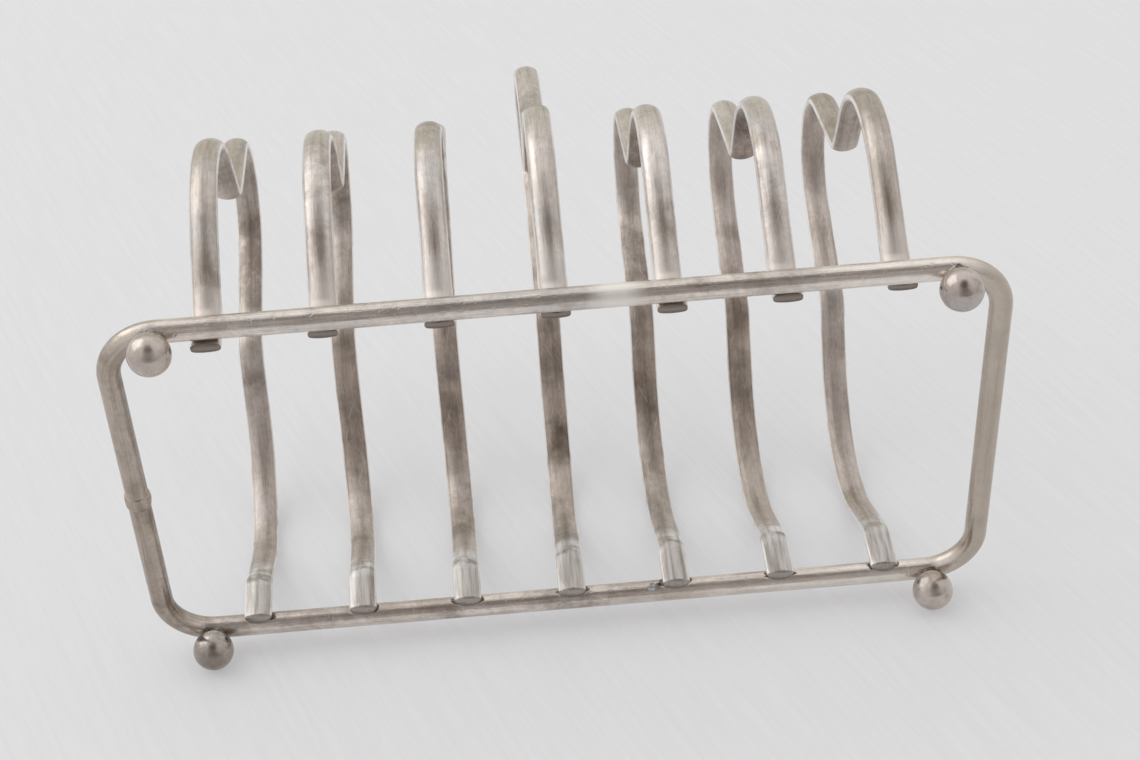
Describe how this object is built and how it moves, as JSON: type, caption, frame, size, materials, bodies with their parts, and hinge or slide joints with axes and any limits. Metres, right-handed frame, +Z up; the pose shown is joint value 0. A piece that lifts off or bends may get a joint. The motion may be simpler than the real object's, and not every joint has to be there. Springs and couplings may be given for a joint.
{
  "type": "toast rack",
  "caption": "Silver-plated wire toast rack: a rounded rectangular base ring on ball feet, with upright shouldered hoops that hold slices and a taller centre hoop as the handle.",
  "frame": {"origin": "bottom centre of the bounding box, on the surface that the ball feet stand on, under the middle of the rack", "axes": "+X along the rack's length, across the slots; +Y across its width, towards the back rail; +Z up, towards the handle"},
  "size_m": [0.1603, 0.0968, 0.1207],
  "materials": {
    "silver_wire": "worn silver plate, lightly tarnished, round wire",
    "silver_oval": "worn silver plate with lengthwise drawing marks, lightly tarnished, oval wire",
    "silver_ball": "polished silver plate",
    "solder": "dull grey solder with dark tarnish round it"
  },
  "bodies": {
    "root": {"base_ring": "silver_wire", "ring_braze": "solder", "ball_foot_front_left": "silver_ball", "ball_foot_front_right": "silver_ball", "ball_foot_back_left": "silver_ball", "ball_foot_back_right": "silver_ball", "solder_ball_feet": "solder", "hoop_1": "silver_oval", "hoop_2": "silver_oval", "hoop_3": "silver_oval", "hoop_handle": "silver_oval", "hoop_5": "silver_oval", "hoop_6": "silver_oval", "hoop_7": "silver_oval", "solder_feet_front": "solder", "solder_feet_back": "solder"}
  },
  "joints": []
}
